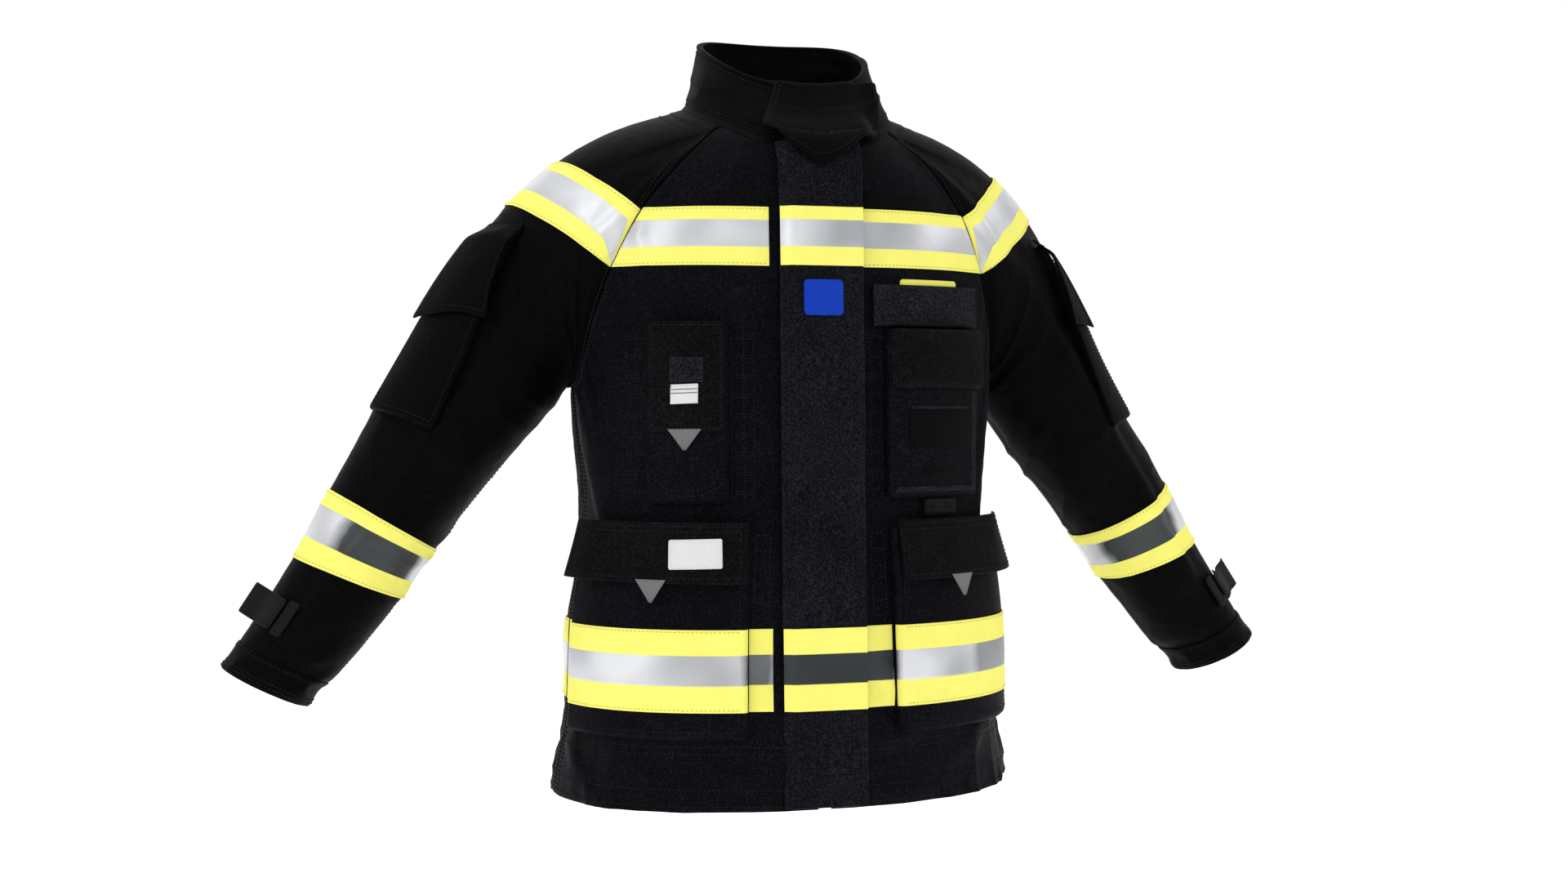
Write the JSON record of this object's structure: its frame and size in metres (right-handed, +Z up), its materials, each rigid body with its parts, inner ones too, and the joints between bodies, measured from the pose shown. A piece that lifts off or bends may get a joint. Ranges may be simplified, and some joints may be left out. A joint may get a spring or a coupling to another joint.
{
  "type": "turnout coat",
  "caption": "Firefighter's turnout coat with raglan sleeves, stand-up collar, storm flap over a zip, bellows and flap pockets, and yellow-silver reflective tape.",
  "frame": {"origin": "middle of the coat's bounding box, at the height of the hem", "axes": "+Z up, the front faces -Y, +X towards the wearer's left"},
  "size_m": [1.2586, 0.333, 0.8662],
  "materials": {
    "shell_cloth": "matt aramid weave, near-black navy",
    "sleeve_cloth": "matt aramid weave, black",
    "flap_cloth": "matt aramid weave, dark grey-navy",
    "collar_cloth": "soft matt black",
    "reflective_tape": "fluorescent yellow with a silver reflective stripe",
    "zip_metal": "brass-toned",
    "webbing": "ribbed black webbing",
    "grey_webbing": "grey webbing",
    "white_label": "woven white",
    "hook_and_loop": "fuzzy black loop",
    "blue_badge": "soft matt blue",
    "quilted_lining": "quilted",
    "barrier_film": "laminated",
    "knit": "ribbed knit"
  },
  "bodies": {
    "coat": {"front_panel_left": "shell_cloth", "front_panel_right": "shell_cloth", "back_panel": "shell_cloth", "sleeve_left": "sleeve_cloth", "sleeve_right": "sleeve_cloth", "collar_outer": "collar_cloth", "collar_lining": "collar_cloth", "hanger_loop": "webbing", "moisture_barrier": "barrier_film", "thermal_liner": "quilted_lining", "sleeve_liner_left": "quilted_lining", "sleeve_liner_right": "quilted_lining", "wristlet_left": "knit", "wristlet_right": "knit", "hem_tape_front_left": "reflective_tape", "hem_tape_front_right": "reflective_tape", "hem_tape_pocket_left": "reflective_tape", "hem_tape_pocket_right": "reflective_tape", "hem_tape_back": "reflective_tape", "chest_tape_left": "reflective_tape", "chest_tape_right": "reflective_tape", "chest_tape_back": "reflective_tape", "shoulder_tape_left": "reflective_tape", "shoulder_tape_right": "reflective_tape", "forearm_tape_left": "reflective_tape", "forearm_tape_right": "reflective_tape", "zip_tape_left": "webbing", "zip_teeth_left": "zip_metal", "zip_tape_right": "webbing", "zip_teeth_right": "zip_metal", "waist_pocket_left": "shell_cloth", "waist_pocket_right": "shell_cloth", "radio_pocket": "shell_cloth", "chest_pocket": "shell_cloth", "chest_strap": "flap_cloth", "chest_patch": "hook_and_loop", "name_strip": "hook_and_loop", "utility_loop": "webbing", "sleeve_pocket_left": "sleeve_cloth", "sleeve_pocket_right": "sleeve_cloth"},
    "storm_flap": {"storm_flap": "flap_cloth", "chest_tape_flap": "reflective_tape", "hem_tape_flap": "reflective_tape", "badge_patch": "blue_badge"},
    "throat_tab": {"throat_tab": "collar_cloth"},
    "waist_flap_left": {"waist_flap_left": "flap_cloth", "waist_tab_left": "grey_webbing"},
    "waist_flap_right": {"waist_flap_right": "flap_cloth", "waist_tab_right": "grey_webbing", "waist_label": "white_label"},
    "radio_flap": {"radio_flap": "flap_cloth", "radio_label": "white_label", "radio_tab": "grey_webbing"},
    "chest_flap": {"chest_flap": "flap_cloth"},
    "sleeve_flap_left": {"sleeve_flap_left": "sleeve_cloth"},
    "sleeve_flap_right": {"sleeve_flap_right": "sleeve_cloth"},
    "wrist_strap_left": {"wrist_strap_left": "webbing"},
    "wrist_strap_right": {"wrist_strap_right": "webbing"},
    "zip_slider": {"zip_slider": "zip_metal"},
    "zip_pull": {"zip_pull": "grey_webbing"}
  },
  "joints": [
    {"name": "zip_slide", "type": "slide", "parent": "coat", "child": "zip_slider", "axis": [0, -0.0341, -0.9994], "range_m": [0, 0.6]},
    {"name": "zip_pull_swing", "type": "hinge", "parent": "zip_slider", "child": "zip_pull", "pos_m": [0, -0.1346, 0.6425], "axis": [-1, 0, 0], "range_deg": [0, 8]},
    {"name": "storm_flap_open", "type": "hinge", "parent": "coat", "child": "storm_flap", "pos_m": [-0.0469, -0.1494, 0.324], "axis": [0, -0.0342, -0.9994], "range_deg": [0, 140]},
    {"name": "throat_tab_open", "type": "hinge", "parent": "coat", "child": "throat_tab", "pos_m": [-0.0464, -0.0941, 0.7668], "axis": [-0.3368, -0.3553, -0.8719], "range_deg": [0, 110]},
    {"name": "waist_flap_left_lift", "type": "hinge", "parent": "coat", "child": "waist_flap_left", "pos_m": [0.183, -0.109, 0.313], "axis": [-0.8022, -0.5971, 0], "range_deg": [0, 100]},
    {"name": "waist_flap_right_lift", "type": "hinge", "parent": "coat", "child": "waist_flap_right", "pos_m": [-0.183, -0.109, 0.313], "axis": [-0.8022, 0.5971, 0], "range_deg": [0, 100]},
    {"name": "radio_flap_lift", "type": "hinge", "parent": "coat", "child": "radio_flap", "pos_m": [-0.14, -0.129, 0.5282], "axis": [-0.9349, 0.355, 0], "range_deg": [0, 100]},
    {"name": "chest_flap_lift", "type": "hinge", "parent": "coat", "child": "chest_flap", "pos_m": [0.1416, -0.1285, 0.5222], "axis": [-0.939, -0.344, 0], "range_deg": [0, 100]},
    {"name": "sleeve_flap_left_lift", "type": "hinge", "parent": "coat", "child": "sleeve_flap_left", "pos_m": [0.3364, -0.002, 0.6424], "axis": [-0.431, -0.8999, -0.066], "range_deg": [0, 90]},
    {"name": "sleeve_flap_right_lift", "type": "hinge", "parent": "coat", "child": "sleeve_flap_right", "pos_m": [-0.3364, -0.002, 0.6424], "axis": [-0.431, 0.8999, 0.066], "range_deg": [0, 90]},
    {"name": "wrist_strap_left_open", "type": "hinge", "parent": "coat", "child": "wrist_strap_left", "pos_m": [0.5679, 0.0194, 0.2114], "axis": [0.5647, 0.0069, -0.8253], "range_deg": [0, 80]},
    {"name": "wrist_strap_right_open", "type": "hinge", "parent": "coat", "child": "wrist_strap_right", "pos_m": [-0.5679, 0.0194, 0.2114], "axis": [0.5647, -0.0069, 0.8253], "range_deg": [0, 80]}
  ]
}
